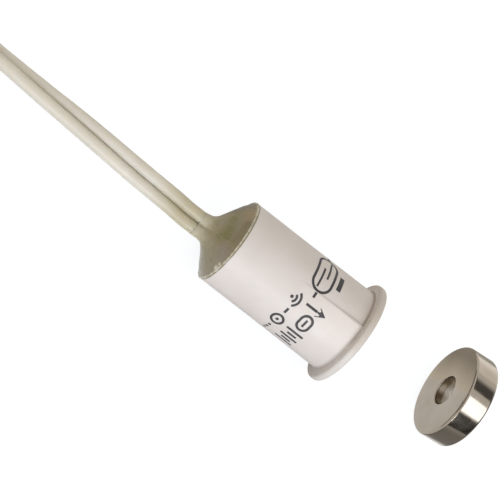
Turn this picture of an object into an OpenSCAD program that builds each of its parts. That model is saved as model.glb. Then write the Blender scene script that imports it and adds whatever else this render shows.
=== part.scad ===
// Recessed magnetic contact: a reed switch potted in a flanged cup, with its ring magnet.
// Origin at the centre of the flange's seating face. +X runs toward the nose, +Z is up.
// The switch lies as it comes to rest, on the edge of its flange and its rear rim, and the
// magnet stands on its edge on the same surface, facing the nose.

/* [Cup] */
// Diameter of the plain barrel
barrel_d = 9.2; // [8:0.1:11]
// Length of the barrel behind the flange
barrel_len = 14.75; // [14.5:0.25:24]
// Thickness of the cup's side wall
side_wall = 0.75; // [0.5:0.05:1]
// Thickness of the closed nose
nose_wall = 0.65; // [0.45:0.05:1.2]
// How far the flange stands out from the barrel
flange_lip = 1.05; // [0.9:0.05:2]
// Thickness of the flange
flange_t = 0.88; // [0.85:0.01:1.6]
// Rounding of the flange's nose edge
nose_round = 0.4; // [0.2:0.05:0.5]
// Rounding of the flange's back edge
back_round = 0.3; // [0.05:0.05:0.35]
// Radius of the fillet between the barrel and the flange
root_fillet = 0.4; // [0.1:0.05:0.5]

/* [Grips] */
// Length of the plain stretch at the barrel's rear
plain_len = 6.4; // [4:0.1:7]
// How much the radius grows from the plain stretch to the flange
draft = 0.06; // [0.02:0.01:0.1]
// How far each grip's own cylinder stands out at the flange, on its highest line
grip_rise = 0.45; // [0.3:0.05:0.6]
// How deep each grip starts under the barrel's skin
grip_sink = 0.05; // [0.02:0.01:0.1]
// Distance from the flange to where each grip starts
grip_start = 9.4; // [7:0.1:10]
// Angle of the first grip's step, from +Y toward +Z
grip_step = 106; // [90:1:120]
// Angle by which a grip's highest line would lie before its step, where it is cut off
grip_lead = 45; // [20:1:55]

/* [Reed capsule] */
// Diameter of the glass
glass_d = 1.8; // [1.7:0.1:2.2]
// Length of the glass
glass_len = 10.1; // [9:0.1:10.4]
// Thickness of the glass wall
glass_wall = 0.18; // [0.1:0.01:0.2]
// Length of each glass seal
seal_len = 1.2; // [0.8:0.1:1.6]
// Diameter of the leads
lead_d = 0.5; // [0.3:0.05:0.55]
// Width of the blades
blade_w = 1.1; // [0.7:0.05:1.15]
// Thickness of the blades
blade_t = 0.2; // [0.1:0.01:0.22]
// Gap between the open blades
blade_gap = 0.12; // [0.08:0.01:0.2]
// Length over which the blades overlap
blade_overlap = 0.7; // [0.3:0.1:1.2]
// Clearance between the front lead's bend and the closed nose
bend_gap = 0.48; // [0.2:0.01:0.6]
// Distance from the glass to the front lead's bend
bend_reach = 0.7; // [0.5:0.05:0.9]
// How far the knuckles of the bend stand proud of the lead
knuckle = 0.03; // [0.01:0.01:0.05]

/* [Wires] */
// Diameter of each insulated wire
wire_d = 1.31; // [1:0.01:1.4]
// Clearance between the two wires
wire_gap = 0.02; // [0.02:0.01:0.1]
// Diameter of the bare conductor
core_d = 0.76; // [0.5:0.01:0.9]
// Length of bare conductor at the soldered end
core_len = 1.3; // [1:0.1:1.5]
// Distance from the glass to the soldered end
core_reach = 0.6; // [0.5:0.05:0.8]
// Solder between a lead and its conductor
solder_gap = 0.05; // [0.02:0.01:0.1]
// Thickness of solder outside the soldered pair
solder_skin = 0.1; // [0.05:0.01:0.15]
// Length of each solder joint
solder_len = 0.9; // [0.6:0.1:1]
// Length of the stripped tips
tip_len = 7; // [4:0.5:10]

/* [Resin] */
// Height of the resin over the rim
resin_h = 3.6; // [2.8:0.05:4]
// Width of the bare edge left round the resin
resin_inset = 0.05; // [0.02:0.01:0.2]
// Thickness of resin round the wires at the top
resin_skin = 0.03; // [0.02:0.01:0.1]

/* [Magnet] */
// Diameter of the ring magnet
magnet_d = 10; // [8:0.1:13]
// Thickness of the ring magnet
magnet_t = 2.85; // [2:0.05:5]
// Diameter of its bore
magnet_bore_d = 3.2; // [2:0.1:4.5]
// Rounding of its edges
magnet_round = 0.3; // [0.1:0.05:0.5]
// Distance from the flange's seat to the magnet's centre, along X
magnet_x = 14.52; // [13:0.01:20]
// Distance from the axis to the magnet's centre, along Y
magnet_y = 3.09; // [0:0.01:4]
// Angle by which the magnet's face is turned away from the nose
magnet_turn = 8.85; // [0:0.05:15]

/* [Lead coil] */
// Diameter of the coil, across the middle of its turns
coil_d = 14.6; // [13:0.1:16]
// Height of the coil's winding
coil_h = 4.9; // [4:0.1:5.5]
// Thickness of the tie's band
tie_t = 0.3; // [0.2:0.05:0.5]
// Width of the tie's band
tie_w = 2.4; // [2:0.1:3.5]
// How far the tie's locking head stands out from the band
tie_head_out = 2.2; // [1.5:0.1:3]
// Width of the locking head
tie_head_w = 3.4; // [3:0.1:4.5]
// Height of the locking head
tie_head_h = 2.6; // [2:0.1:3]

/* [Hidden] */

smooth = 96;
fine = 48;
// How far a hidden end runs on inside its neighbour, and how far a cut runs past a face
run_on = 0.3;
// How far each grip runs on into the flange
grip_root = 0.09;
// How far the reed leads run on past their solder
lead_past = 0.1;
ivory = [0.9, 0.87, 0.83];
resin_olive = [0.5, 0.47, 0.36];
cream = [0.86, 0.85, 0.78];
nickel = [0.72, 0.7, 0.66];
tin = [0.8, 0.8, 0.8];
glass_green = [0.75, 0.85, 0.8, 0.5];

barrel_r = barrel_d / 2;
cavity_r = barrel_r - side_wall;
flange_r = barrel_r + flange_lip;
cavity_floor = flange_t - nose_wall;

// How the switch rests: its flange's edge and its rear rim both touch the surface
rest_tilt = atan(flange_lip / barrel_len);
floor_z = -flange_r * cos(rest_tilt);

// The soldered stack, worked out from the closed nose toward the rear
bend_x = cavity_floor - bend_gap - lead_d / 2;
glass_front = bend_x - bend_reach;
glass_rear = glass_front - glass_len;
chamber_front = glass_front - seal_len;
chamber_rear = glass_rear + seal_len;
core_front = glass_rear - core_reach;
strip_end = core_front - core_len;
solder_x = core_front - core_len / 2;
lead_end = solder_x - solder_len / 2 - lead_past;
stub_end = -barrel_len - resin_h - run_on;

// The two wires leave side by side. Angles run from +Y toward +Z, seen from the nose.
pair_turn = 33.7;
pair_mid = -0.48;
half_pair = (wire_d + wire_gap) / 2;
wire_a_at = polar(pair_mid - half_pair, pair_turn);
wire_b_at = polar(pair_mid + half_pair, pair_turn);
solder_pitch = (lead_d + core_d) / 2 + solder_gap;
reed_at = wire_b_at + [0, solder_pitch];
return_side = 233;
return_at = wire_a_at + polar(solder_pitch, return_side);
collar = 0.1;
root_gap = 0.05;
blade_len = (chamber_front - chamber_rear + blade_overlap) / 2 - root_gap;

// The pair's route from the resin to the coil: x, y, height over the floor, turn of the pair
pair_route = [
    [-22, -0.25, 3.8, 28],
    [-26, -0.1, 3.5, 20],
    [-30, 0.1, 3.25, 12],
    [-34, 0.3, 2.95, 3],
    [-38, 0.45, 2.65, -6],
    [-42, 0.65, 2.35, -13],
    [-44.5, 0.9, 2.05, -13],
    [-47.5, 1.7, 1.6, -9],
    [-50.5, 2.8, 1.15, -4],
    [-53.5, 3.6, 1, 0],
    [-56.2, 3.85, 1, 0]
];
coil_at = [-56.2, -4.8];
coil_cols = 4;
coil_r_in = coil_d / 2 - coil_cols * half_pair;
coil_r_out = coil_d / 2 + coil_cols * half_pair;
tie_angle = 225;
tie_slack = 0.05;
tie_head_z = 1.2;
tail_angle = -90;
tip_gap = 0.5;
tube_sides = 8;

// The resin's outline over the rim: share of its height, share of its width, share of the pair's form
resin_outline = [
    [0, 1, 0],
    [0.03, 0.99, 0],
    [0.06, 0.97, 0],
    [0.09, 0.945, 0],
    [0.13, 0.9, 0],
    [0.2, 0.8, 0],
    [0.3, 0.655, 0.02],
    [0.41, 0.495, 0.08],
    [0.51, 0.345, 0.22],
    [0.62, 0.18, 0.46],
    [0.73, 0.075, 0.74],
    [0.82, 0.035, 0.88],
    [0.91, 0.015, 0.96],
    [1, 0, 1]
];
resin_sides = 40;

function polar(r, angle) = [r * cos(angle), r * sin(angle)];
function unit(v) = v / norm(v);

// A point of the tilted switch's own frame, in the row's frame
function placed(p) = [
    p[0] * cos(rest_tilt) - p[2] * sin(rest_tilt),
    p[1],
    p[0] * sin(rest_tilt) + p[2] * cos(rest_tilt)
];

// A closed skin over rings of points that all have the same count
module skin(rings) {
    count = len(rings[0]);
    last = len(rings) - 1;
    points = [for (ring = rings) each ring];
    sides = [
        for (i = [0:last - 1], j = [0:count - 1])
            let (k = (j + 1) % count)
            each [
                [i * count + j, i * count + k, (i + 1) * count + k],
                [i * count + j, (i + 1) * count + k, (i + 1) * count + j]
            ]
    ];
    first_cap = [for (j = [count - 1:-1:0]) j];
    last_cap = [for (j = [0:count - 1]) last * count + j];
    polyhedron(points, concat([first_cap], sides, [last_cap]));
}

// One ring of a tube at point p, square to the way it runs
function tube_ring(p, way) =
    let (side = unit(cross([0, 0, 1], way)), up = cross(way, side))
    [
        for (j = [0:tube_sides - 1])
            let (a = 360 * (j + 0.5) / tube_sides)
            p + wire_d / 2 * (cos(a) * side + sin(a) * up)
    ];

module tube(points) {
    last = len(points) - 1;
    rings = [
        for (i = [0:last])
            tube_ring(points[i], unit(points[min(i + 1, last)] - points[max(i - 1, 0)]))
    ];
    skin(rings);
}

module in_rest_place() {
    rotate([0, -rest_tilt, 0]) children();
}

// A rod along the switch's axis, from x0 to x1, at a place across it
module rod(x0, x1, at, d) {
    translate([min(x0, x1), at[0], at[1]])
        rotate([0, 90, 0])
            cylinder(h = abs(x1 - x0), d = d, $fn = fine);
}

// A turned shape about the switch's axis: profile points are [radius, x]
module turned() {
    rotate([0, 90, 0])
        rotate_extrude($fn = smooth) children();
}

// Profile of the flange: a disc with both edges rounded
module flange_profile() {
    hull() {
        square([flange_r - nose_round, flange_t]);
        translate([flange_r - nose_round, flange_t - nose_round]) circle(r = nose_round, $fn = fine);
        translate([flange_r - back_round, back_round]) circle(r = back_round, $fn = fine);
    }
}

// Concave fillet where the barrel runs into the flange
module root_fillet_profile() {
    corner_r = barrel_r + draft;
    difference() {
        translate([corner_r - run_on, -root_fillet]) square([run_on + root_fillet, root_fillet]);
        translate([corner_r + root_fillet, -root_fillet]) circle(r = root_fillet, $fn = fine);
    }
}

// The barrel from its rim to the flange, plain at the rear and slightly drafted toward the flange
module barrel_profile() {
    polygon([
        [0, -barrel_len],
        [barrel_r, -barrel_len],
        [barrel_r, plain_len - barrel_len],
        [barrel_r + draft, 0],
        [0, 0]
    ]);
}

// A grip: a leaning cylinder that comes out of the barrel toward the flange, cut off at its step
module grip(step) {
    lean = atan((grip_rise + grip_sink) / grip_start);
    intersection() {
        translate([-grip_start, 0, 0])
            rotate([step - grip_lead - 90, 0, 0])
                rotate([0, -lean, 0])
                    rotate([0, 90, 0])
                        cylinder(h = grip_start + run_on, r = barrel_r - grip_sink, $fn = smooth);
        rotate([step, 0, 0])
            translate([-grip_start - run_on, -2 * flange_r, 0])
                cube([grip_start + run_on + grip_root, 4 * flange_r, 2 * flange_r]);
    }
}

module housing() {
    color(ivory)
        in_rest_place()
            difference() {
                union() {
                    turned() barrel_profile();
                    turned() root_fillet_profile();
                    turned() flange_profile();
                    grip(grip_step);
                    grip(grip_step + 180);
                }
                rod(cavity_floor, -barrel_len - run_on, [0, 0], 2 * cavity_r);
            }
}

// One ring of the resin dome, from the full round at the rim to the pair's outline at the top
function resin_ring(station) =
    let (
        x = -barrel_len - station[0] * resin_h,
        base_r = barrel_r - resin_inset,
        top_r = wire_d / 2 + resin_skin,
        round_r = top_r + station[1] * (base_r - top_r),
        reach = station[2] * half_pair,
        mid = polar(station[2] * pair_mid, pair_turn)
    )
    [
        for (j = [0:resin_sides - 1])
            let (
                a = 360 * j / resin_sides,
                push = cos(a) >= 0 ? reach : -reach,
                p = [round_r * cos(a) + push, round_r * sin(a)]
            )
            [
                x,
                mid[0] + p[0] * cos(pair_turn) - p[1] * sin(pair_turn),
                mid[1] + p[0] * sin(pair_turn) + p[1] * cos(pair_turn)
            ]
    ];

module resin_dome() {
    skin([for (station = resin_outline) resin_ring(station)]);
}

module glass_body() {
    end_round = glass_d / 4;
    translate([glass_rear, reed_at[0], reed_at[1]])
        turned()
            hull() {
                square([lead_d / 2 + collar, glass_len]);
                translate([glass_d / 2 - end_round, end_round]) circle(r = end_round, $fn = fine);
                translate([glass_d / 2 - end_round, glass_len - end_round]) circle(r = end_round, $fn = fine);
            }
}

module glass_chamber() {
    rod(chamber_rear, chamber_front, reed_at, glass_d - 2 * glass_wall);
}

module front_lead_body() {
    rod(chamber_front, bend_x, reed_at, lead_d);
    knuckle_ball(reed_at);
    bend_link();
    knuckle_ball(return_at);
    rod(bend_x, lead_end, return_at, lead_d);
}

module knuckle_ball(at) {
    translate([bend_x, at[0], at[1]]) sphere(d = lead_d + 2 * knuckle, $fn = fine);
}

// The short stretch of lead that crosses from the glass to the way back
module bend_link() {
    across = return_at - reed_at;
    translate([bend_x, reed_at[0], reed_at[1]])
        rotate([atan2(across[1], across[0]) - 90, 0, 0])
            cylinder(h = norm(across), d = lead_d, $fn = fine);
}

module rear_lead_body() {
    rod(chamber_rear, lead_end, reed_at, lead_d);
}

module core_body(at) {
    rod(strip_end, core_front, at, core_d);
}

// A drawn-out drop of solder round a lead and a bare conductor that lie side by side
module solder_body(core_at, lead_at) {
    outer_r = solder_pitch / 2 + (lead_d + core_d) / 4 + solder_skin;
    end_round = outer_r / 2;
    middle = core_at + unit(lead_at - core_at) * (solder_pitch + (lead_d - core_d) / 2) / 2;
    translate([solder_x - solder_len / 2, middle[0], middle[1]])
        turned()
            hull() {
                square([outer_r - end_round, solder_len]);
                translate([outer_r - end_round, end_round]) circle(r = end_round, $fn = fine);
                translate([outer_r - end_round, solder_len - end_round]) circle(r = end_round, $fn = fine);
            }
}

module stub_body(at) {
    rod(strip_end, stub_end, at, wire_d);
}

module potting() {
    color(resin_olive)
        in_rest_place()
            difference() {
                union() {
                    rod(cavity_floor, -barrel_len, [0, 0], 2 * cavity_r);
                    resin_dome();
                }
                glass_body();
                front_lead_body();
                rear_lead_body();
                core_body(wire_a_at);
                core_body(wire_b_at);
                solder_body(wire_a_at, return_at);
                solder_body(wire_b_at, reed_at);
                stub_body(wire_a_at);
                stub_body(wire_b_at);
            }
}

module reed_glass() {
    color(glass_green)
        in_rest_place()
            difference() {
                glass_body();
                glass_chamber();
                rod(glass_rear - run_on, glass_front + run_on, reed_at, lead_d);
            }
}

// A flat blade inside the glass. side is 1 for the upper blade and -1 for the lower one.
module blade(x0, side) {
    translate([x0, reed_at[0] - blade_w / 2, reed_at[1] + side * (blade_gap + blade_t) / 2 - blade_t / 2])
        cube([blade_len, blade_w, blade_t]);
}

module front_blade() {
    color(nickel) in_rest_place() blade(chamber_front - root_gap - blade_len, 1);
}

module rear_blade() {
    color(nickel) in_rest_place() blade(chamber_rear + root_gap, -1);
}

module front_lead() {
    color(nickel) in_rest_place() front_lead_body();
}

module rear_lead() {
    color(nickel) in_rest_place() rear_lead_body();
}

module core_a() {
    color(tin) in_rest_place() core_body(wire_a_at);
}

module core_b() {
    color(tin) in_rest_place() core_body(wire_b_at);
}

module solder_a() {
    color(tin)
        in_rest_place()
            difference() {
                solder_body(wire_a_at, return_at);
                front_lead_body();
                core_body(wire_a_at);
            }
}

module solder_b() {
    color(tin)
        in_rest_place()
            difference() {
                solder_body(wire_b_at, reed_at);
                rear_lead_body();
                core_body(wire_b_at);
            }
}

// The level direction in which the pair runs at its route's point i
function pair_way(i) =
    let (ahead = pair_route[min(i + 1, len(pair_route) - 1)], behind = pair_route[max(i - 1, 0)])
    unit([ahead[0] - behind[0], ahead[1] - behind[1]]);

// The route of one wire: side is -1 for wire a and 1 for wire b
function wire_route(at, side) = concat(
    [placed([strip_end, at[0], at[1]]), placed([stub_end, at[0], at[1]])],
    [
        for (i = [0:len(pair_route) - 1])
            let (
                p = pair_route[i],
                way = pair_way(i),
                level = side * half_pair * cos(p[3])
            )
            [p[0] + level * way[1], p[1] - level * way[0], floor_z + p[2] + side * half_pair * sin(p[3])]
    ]
);

module wire_a() {
    color(cream) tube(wire_route(wire_a_at, -1));
}

module wire_b() {
    color(cream) tube(wire_route(wire_b_at, 1));
}

module coil_body() {
    translate([coil_at[0], coil_at[1], floor_z + tie_t])
        rotate_extrude($fn = smooth)
            translate([coil_r_in, 0]) square([coil_r_out - coil_r_in, coil_h]);
}

module lead_coil() {
    color(cream) coil_body();
}

// A narrow band round the coil's winding, with its locking head on the outside
module coil_tie() {
    winding_w = coil_r_out - coil_r_in + 2 * tie_slack;
    color("white")
        translate([coil_at[0], coil_at[1], floor_z])
            rotate([0, 0, tie_angle])
                difference() {
                    union() {
                        translate([coil_r_in - tie_slack - tie_t, -tie_w / 2, 0])
                            cube([winding_w + 2 * tie_t, tie_w, coil_h + 2 * tie_t]);
                        translate([coil_r_out + tie_t, -tie_head_w / 2, tie_head_z])
                            cube([tie_head_out, tie_head_w, tie_head_h]);
                    }
                    translate([0, 0, tie_t])
                        rotate_extrude($fn = smooth)
                            translate([coil_r_in - tie_slack, 0]) square([winding_w, coil_h]);
                }
}

// A stripped tip leaves the coil's outer turn straight on, at its distance from the coil's middle
module tip(distance) {
    reach = sqrt(coil_r_out * coil_r_out - distance * distance) + tip_gap;
    translate([coil_at[0], coil_at[1], floor_z + core_d / 2])
        rotate([0, 0, tail_angle])
            translate([distance, reach, 0])
                rotate([-90, 0, 0])
                    cylinder(h = tip_len, d = core_d, $fn = fine);
}

module wire_a_tip() {
    color(tin) tip(coil_d / 2 + 3 * half_pair);
}

module wire_b_tip() {
    color(tin) tip(coil_d / 2 + half_pair);
}

module magnet() {
    outer_r = magnet_d / 2;
    bore_r = magnet_bore_d / 2;
    color(nickel)
        translate([magnet_x, magnet_y, floor_z + outer_r])
            rotate([0, 0, magnet_turn])
                rotate([0, 90, 0])
                    translate([0, 0, -magnet_t / 2])
                        difference() {
                            rotate_extrude($fn = smooth)
                                hull() {
                                    square([outer_r - magnet_round, magnet_t]);
                                    translate([outer_r - magnet_round, magnet_round])
                                        circle(r = magnet_round, $fn = fine);
                                    translate([outer_r - magnet_round, magnet_t - magnet_round])
                                        circle(r = magnet_round, $fn = fine);
                                }
                            translate([0, 0, -run_on]) cylinder(h = magnet_t + 2 * run_on, r = bore_r, $fn = fine);
                        }
}

housing();
potting();
reed_glass();
front_blade();
rear_blade();
front_lead();
rear_lead();
core_a();
core_b();
solder_a();
solder_b();
wire_a();
wire_b();
lead_coil();
coil_tie();
wire_a_tip();
wire_b_tip();
magnet();
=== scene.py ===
# %% [markdown]
# # A recessed magnetic contact
# The object is a press-in reed switch: a flanged cup of ivory plastic, filled with olive resin,
# with two cream leads, and beside it the plated ring magnet that works it. The construction comes
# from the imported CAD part, which is loaded as a fixed frame. This script adds the looks: finer
# meshes where the eye rests, the leads at their full length, and a finish for every surface.

# %% Load the frame
import math

import bmesh
import bpy
from mathutils import Matrix, Vector


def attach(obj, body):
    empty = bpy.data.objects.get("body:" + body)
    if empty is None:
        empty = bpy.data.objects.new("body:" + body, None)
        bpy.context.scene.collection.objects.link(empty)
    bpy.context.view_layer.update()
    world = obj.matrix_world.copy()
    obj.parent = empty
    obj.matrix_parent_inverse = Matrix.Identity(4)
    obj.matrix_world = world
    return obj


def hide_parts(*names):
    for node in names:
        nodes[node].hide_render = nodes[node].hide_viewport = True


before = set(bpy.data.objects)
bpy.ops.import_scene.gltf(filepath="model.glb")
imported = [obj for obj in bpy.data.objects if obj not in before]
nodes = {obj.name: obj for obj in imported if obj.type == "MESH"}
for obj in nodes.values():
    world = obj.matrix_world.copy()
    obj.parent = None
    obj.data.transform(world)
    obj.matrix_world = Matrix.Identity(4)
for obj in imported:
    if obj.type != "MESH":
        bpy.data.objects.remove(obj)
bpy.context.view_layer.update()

# %% [markdown]
# ## Sizes
# All lengths are in metres, and a length in millimetres is written as a number times mm. The
# switch is drawn in its own frame: X along its axis toward the nose, and the middle of the
# flange's back face at the origin. It lies on the edge of its flange and its rear rim, so one
# small turn about Y brings everything that belongs to it into its resting place. The sizes that
# several pieces share stand here, and every other size stands where it is first needed.

# %% Shared sizes and the resting place
mm = 0.001

barrel_radius = 4.6 * mm
barrel_length = 14.75 * mm
flange_lip = 1.05 * mm
wire_diameter = 1.31 * mm
half_pair = 0.635 * mm
resin_height = 3.6 * mm

flange_radius = barrel_radius + flange_lip
rest_tilt = math.atan(flange_lip / barrel_length)
lying = Matrix.Rotation(-rest_tilt, 4, "Y")
floor_z = -flange_radius * math.cos(rest_tilt)
print("tilt at rest in degrees:", round(math.degrees(rest_tilt), 3), "floor in mm:", round(floor_z / mm, 3))

# %% [markdown]
# ## Camera
# The camera looks down at the parts and is rolled, so that the switch runs from the upper left to
# the lower right. Its place was solved from the outlines of the rim, the flange and the magnet.
# A direction is easier to read as azimuth, elevation and roll than as a matrix, so the matrix is
# worked out from them.

# %% Camera
view_azimuth = math.radians(-30.016)
view_elevation = math.radians(51.739)
view_roll = math.radians(64.741)
camera_place = Vector((-119.978, -185.497, 271.742)) * mm


def put_in_scene(name, data):
    """An object at the origin that shows this mesh, curve, lamp or camera."""
    made = bpy.data.objects.new(name, data)
    bpy.context.scene.collection.objects.link(made)
    return made


toward_camera = Vector((
    math.sin(view_azimuth) * math.cos(view_elevation),
    -math.cos(view_azimuth) * math.cos(view_elevation),
    math.sin(view_elevation),
))
camera_data = bpy.data.cameras.new("camera")
camera_data.sensor_width = 36
camera_data.lens = 255.84
camera_data.clip_start = 0.01
camera_data.clip_end = 20
camera = put_in_scene("camera", camera_data)
camera.matrix_world = (
    Matrix.Translation(camera_place)
    @ toward_camera.to_track_quat("Z", "Y").to_matrix().to_4x4()
    @ Matrix.Rotation(view_roll, 4, "Z")
)
bpy.context.scene.camera = camera
print("camera distance in mm:", round(camera_place.length / mm))

# %% [markdown]
# ## Leads
# A contact of this kind has two leads, 0.305 m long. Only their first stretch shows in the view,
# so each lead runs on past the picture's edge into a small tied coil that holds the rest. A cord
# is a fixed length of something that bends, so its route comes first and its skin second. The two
# leads lie side by side and twist a little on their way, so the route is that of the pair: it says
# where the pair is and how far it is turned, and each lead keeps to its own side.

# %% Route of the pair from the resin to the coil
# Along X, along Y, height over the floor in mm, and the turn of the pair in degrees
pair_route = [
    (-22, -0.25, 3.8, 35),
    (-26, -0.1, 3.5, 28),
    (-30, 0.1, 3.25, 17),
    (-34, 0.3, 2.95, 4),
    (-38, 0.45, 2.65, -10),
    (-42, 0.65, 2.35, -21),
    (-44.5, 0.9, 2.05, -23),
    (-47.5, 1.7, 1.6, -15),
    (-50.5, 2.8, 1.15, -6),
    (-53.5, 3.6, 1, 0),
    (-56.2, 3.85, 1, 0),
]


def pair_heading(i):
    """The level direction in which the pair runs at point i of its route."""
    ahead = pair_route[min(i + 1, len(pair_route) - 1)]
    behind = pair_route[max(i - 1, 0)]
    return Vector((ahead[0] - behind[0], ahead[1] - behind[1])).normalized()


def free_point(i, side):
    """Where one lead is at point i of the route: side is -1 for lead a and 1 for lead b."""
    x, y, height, turn = pair_route[i]
    heading = pair_heading(i)
    level = side * half_pair * math.cos(math.radians(turn))
    rise = side * half_pair * math.sin(math.radians(turn))
    return Vector((x * mm + level * heading.y, y * mm - level * heading.x, floor_z + height * mm + rise))


print("points of the pair's free route:", len(pair_route))

# %% Where the leads come out of the resin
pair_angle = math.radians(33.7)
pair_middle = -0.48 * mm
resin_top = -(barrel_length + resin_height)


def lead_exit(x, side):
    """Where one lead is at x in the switch's own frame, as far as it runs straight."""
    offset = pair_middle + side * half_pair
    return lying @ Vector((x, offset * math.cos(pair_angle), offset * math.sin(pair_angle)))


for side in (-1, 1):
    print("exit of a lead in mm:", [round(value / mm, 2) for value in lead_exit(resin_top, side)])

# %% [markdown]
# ## Coil
# The rest of the pair is wound by hand into a small round coil of two rings of turns, one inside
# the other. One helix could draw a single ring, but this pair comes in low and has to leave low
# too. So its radius and height are worked out from how far it has turned. It dives under the
# outer turns to come, climbs the inner ones, crosses outward on top, where the leads swap sides,
# and comes down the outer ones.

# %% Place of the pair in the coil
tie_thickness = 0.3 * mm
coil_middle = Vector((-56.2 * mm, -4.8 * mm, floor_z + tie_thickness))
coil_radius = 7.3 * mm
coil_half = 0.665 * mm
inner_turn = coil_radius - 2 * coil_half
outer_turn = coil_radius + 2 * coil_half
layer = 2.15 * coil_half
lowest = wire_diameter / 2
crossing = 75
winding = 915
last_drop = 150


def ease(share):
    """A share from 0 to 1 that starts and ends gently."""
    share = min(max(share, 0), 1)
    return share * share * (3 - 2 * share)


def coil_place(turned_by):
    """Radius, height and flip of the pair after it has turned by so many degrees in the coil."""
    top = lowest + layer * winding / 360
    if turned_by < crossing:
        share = ease(turned_by / crossing)
        return outer_turn + (inner_turn - outer_turn) * share, lowest, 0
    turned_by -= crossing
    if turned_by < winding:
        return inner_turn, lowest + layer * turned_by / 360, 0
    turned_by -= winding
    if turned_by < crossing:
        share = ease(turned_by / crossing)
        return inner_turn + (outer_turn - inner_turn) * share, top, 180 * share
    turned_by -= crossing
    left = winding - turned_by
    if left < last_drop:
        return outer_turn, lowest + layer * ease(left / last_drop), 180
    return outer_turn, max(top - layer * turned_by / 360, lowest + layer), 180


print("rings of the coil at radii in mm:", round(inner_turn / mm, 2), round(outer_turn / mm, 2))

# %% Points of each lead in the coil
coil_step = 7.5
coil_turned = 2 * (crossing + winding)


def coil_points(side):
    """One lead's points in the coil. Where the leads swap sides, lead b passes over lead a."""
    points = []
    for i in range(int(coil_turned / coil_step) + 1):
        turned_by = i * coil_step
        radius, height, flip = coil_place(turned_by)
        swing = math.radians(flip)
        radius += side * coil_half * math.cos(swing)
        height += coil_half * math.sin(swing) * (1 + side)
        angle = math.radians(90 + turned_by)
        points.append(coil_middle + Vector((radius * math.cos(angle), radius * math.sin(angle), height)))
    return points


print("turns of the coil:", coil_turned / 360)

# %% [markdown]
# ## From route to lead
# A smooth line through the chosen points comes from the usual four-point spline. The two leads
# leave the coil's last turn straight on, each as far as the coil's outside, and end stripped. A
# tube could be swept as a mesh, but a curve with a round bevel keeps route and skin in one object,
# and its length can be measured. Each point holds the lead's own radius and the bevel is 1, so
# that the curve's box is as large as the lead and no larger.

# %% A smooth line through points
def smooth_line(points, pieces):
    """A smooth line through the points, each gap cut into so many pieces."""
    line = []
    for i in range(len(points) - 1):
        before = points[max(i - 1, 0)]
        start, end = points[i], points[i + 1]
        after = points[min(i + 2, len(points) - 1)]
        for k in range(pieces):
            t = k / pieces
            line.append(
                0.5 * (
                    2 * start
                    + (end - before) * t
                    + (2 * before - 5 * start + 4 * end - after) * t * t
                    + (3 * start - before - 3 * end + after) * t ** 3
                )
            )
    line.append(points[-1])
    return line


# %% Where the leads end
coil_outside = coil_radius + 4 * coil_half
tail_angle = math.radians(-90)
tip_gap = 0.5 * mm
tail_out = Vector((math.cos(tail_angle), math.sin(tail_angle), 0))
tail_along = Vector((-math.sin(tail_angle), math.cos(tail_angle), 0))


def tail_reach(side):
    """How far a lead's insulation runs on, and how far from the coil's middle it passes."""
    distance = outer_turn - side * coil_half
    return math.sqrt(coil_outside ** 2 - distance ** 2) + tip_gap, distance


def tail_point(side):
    """Where a lead's insulation ends, past the outside of the coil."""
    reach, distance = tail_reach(side)
    return coil_middle + tail_out * distance + tail_along * reach + Vector((0, 0, lowest - tie_thickness))


print("insulation past the coil's middle in mm:", [round(tail_reach(side)[0] / mm, 2) for side in (-1, 1)])

# %% Lead curves
lead_starts = -13.2 * mm
straight_exit = 1.5 * mm
line_pieces = 6


def lead_line(side):
    """The whole middle line of a lead. The last gap before the coil only steers, so it is cut off."""
    rooted = [lead_exit(x, side) for x in (resin_top, resin_top - straight_exit)]
    free = [free_point(i, side) for i in range(len(pair_route) - 1)]
    turns = coil_points(side)
    reaching = smooth_line(rooted + free + turns[:2], line_pieces)[:-(line_pieces + 1)]
    return [lead_exit(lead_starts, side)] + reaching + turns + [tail_point(side)]


def lead_curve(name, side, stands_for):
    """A lead as one open curve with a round bevel, in place of its solids."""
    data = bpy.data.curves.new(name, "CURVE")
    data.dimensions = "3D"
    spline = data.splines.new("POLY")
    line = lead_line(side)
    spline.points.add(len(line) - 1)
    for point, place in zip(spline.points, line):
        point.co = (*place, 1)
        point.radius = wire_diameter / 2
    spline.use_smooth = True
    data.bevel_depth = 1
    data.bevel_resolution = 8
    data.use_fill_caps = True
    lead = put_in_scene(name, data)
    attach(lead, "switch")
    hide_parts(*stands_for)
    length = sum((b - a).length for a, b in zip(line, line[1:]))
    print(name, "points:", len(line), "length in mm:", round(length / mm, 1))
    return lead


lead_a = lead_curve("lead_a", -1, ["wire_a", "lead_coil"])
lead_b = lead_curve("lead_b", 1, ["wire_b", "lead_coil"])

# %% [markdown]
# ## From bmesh to piece
# Every other piece is shaped in a bmesh and then becomes an object that sits at the origin, with
# its place in its mesh. Faces are smooth, and edges that turn sharply are marked sharp, which gives
# clean shading with no extra modifier. The number of open edges tells whether a shell is closed.

# %% From bmesh to piece
def mesh_of(bm, name):
    """Turns the bmesh into a mesh and frees it."""
    mesh = bpy.data.meshes.new(name)
    bm.to_mesh(mesh)
    bm.free()
    return mesh


def make_piece(bm, name, body, stands_for=(), crease=35):
    """A piece of that body. An edge that turns by more than crease degrees is sharp."""
    bmesh.ops.remove_doubles(bm, verts=bm.verts, dist=1e-8)
    bmesh.ops.recalc_face_normals(bm, faces=bm.faces)
    for face in bm.faces:
        face.smooth = True
    for edge in bm.edges:
        edge.smooth = edge.calc_face_angle(0) < math.radians(crease)
    print(name, "faces:", len(bm.faces), "open edges:", sum(not edge.is_manifold for edge in bm.edges))
    piece = put_in_scene(name, mesh_of(bm, name))
    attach(piece, body)
    if stands_for:
        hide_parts(*stands_for)
    return piece


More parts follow.
